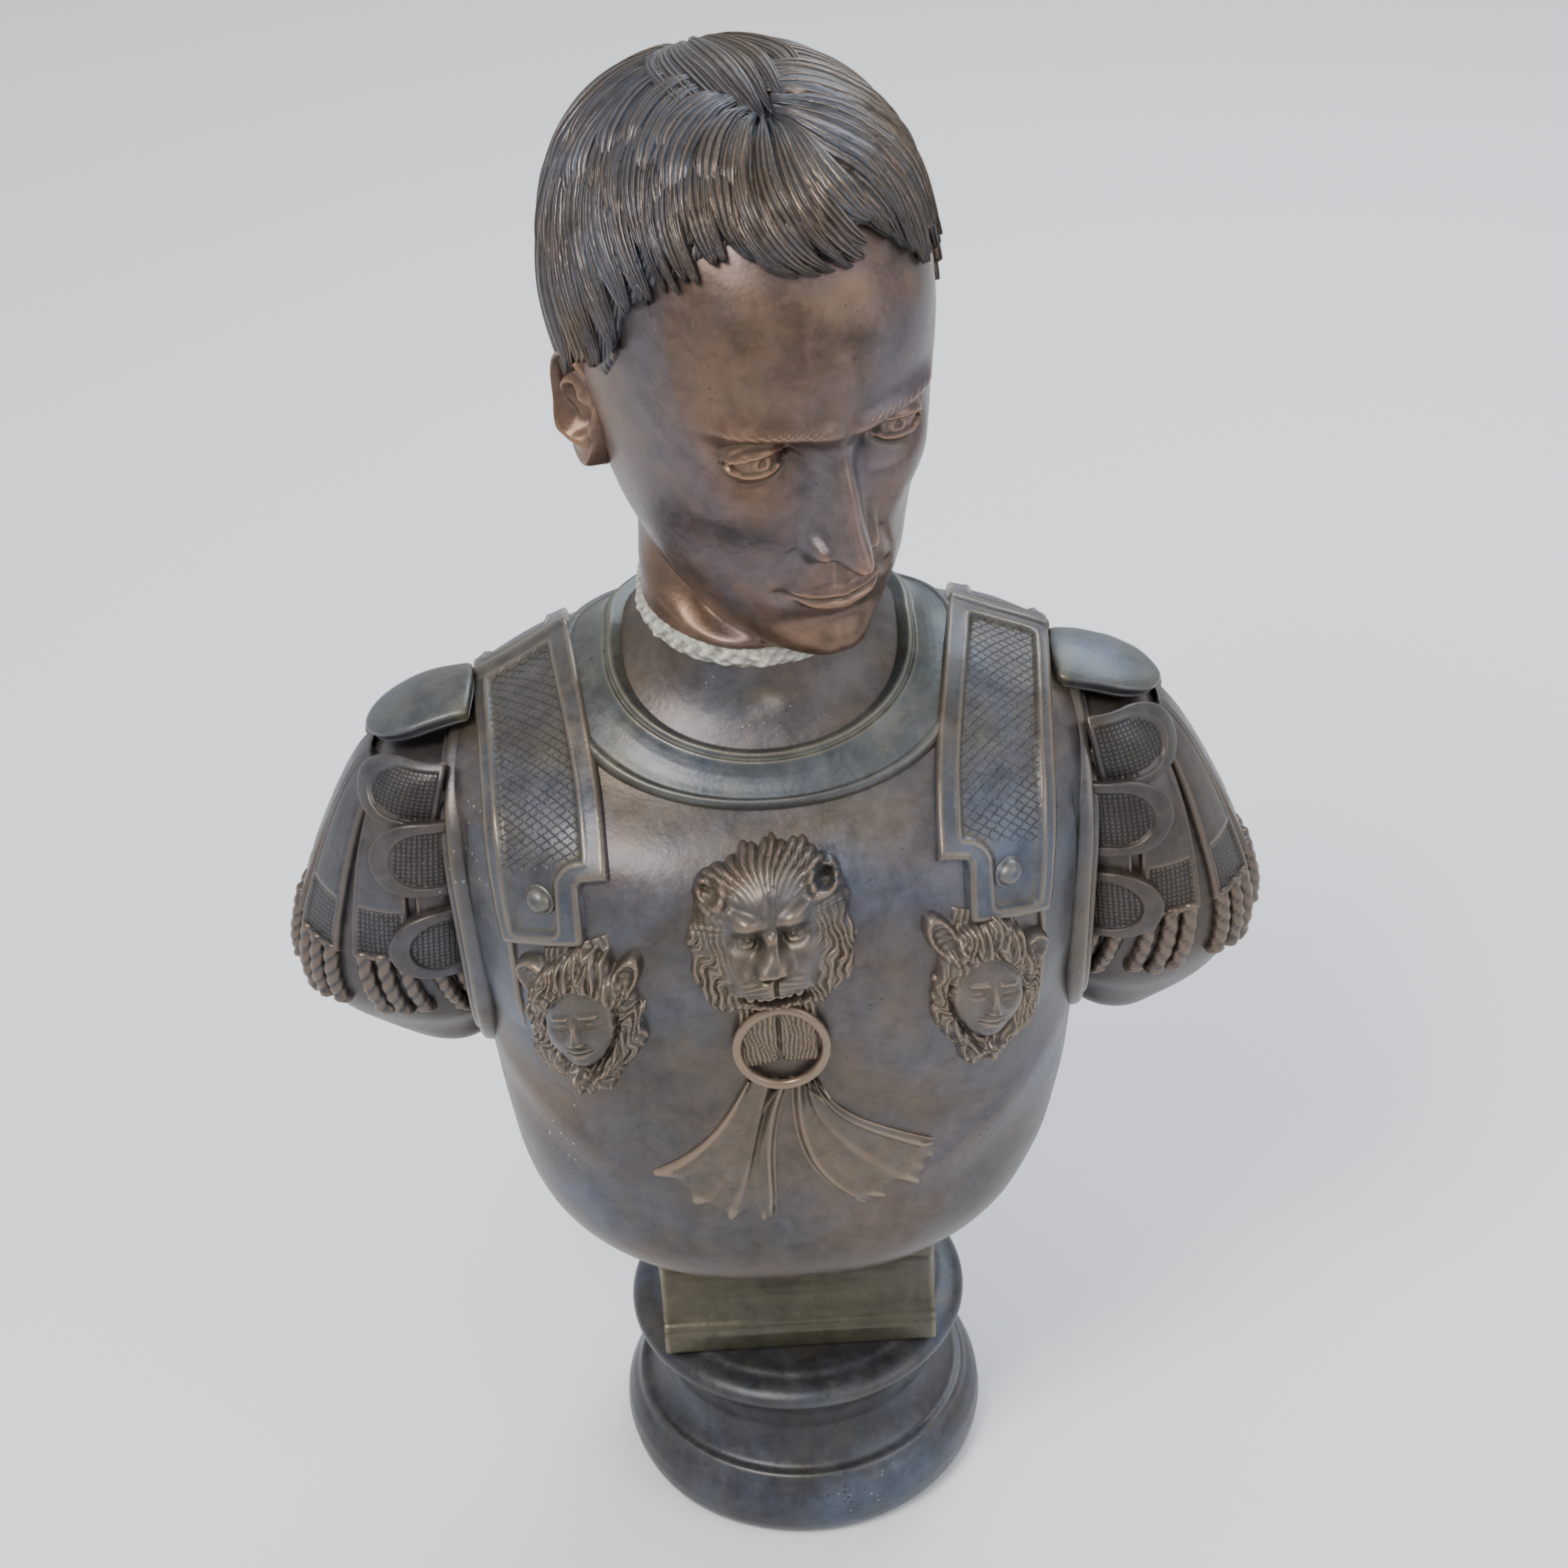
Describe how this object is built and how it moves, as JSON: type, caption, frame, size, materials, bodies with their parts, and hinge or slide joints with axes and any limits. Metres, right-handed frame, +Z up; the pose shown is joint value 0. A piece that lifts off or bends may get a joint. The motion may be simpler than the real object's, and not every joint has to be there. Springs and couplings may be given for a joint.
{
  "type": "roman emperor bust",
  "caption": "Bronze bust of a man in a moulded cuirass with a lion mask and ring, arm stumps with lappets and tassels, on an index block and round socle.",
  "frame": {"origin": "centre of the socle's round underside, on the surface the bust stands on", "axes": "+Z up through the head, -Y the way the chest faces, +X the figure's own left; the head turns to +X and bows forward"},
  "size_m": [0.5212, 0.2754, 0.8613],
  "materials": {
    "bronze": "dark brown patina on cast bronze, satin, with pits and dust in the hollows",
    "bronze_face": "warmer, rubbed brown patina on cast bronze, satin",
    "bronze_base": "blue-black patina on cast bronze, satin",
    "bronze_block": "olive-brown dusty patina on cast bronze",
    "filler": "pale crumbly cement, matt"
  },
  "bodies": {
    "root": {"head": "bronze_face", "neck_joint": "filler", "cuirass_bust": "bronze", "index_block": "bronze_block", "round_socle": "bronze_base"}
  },
  "joints": []
}
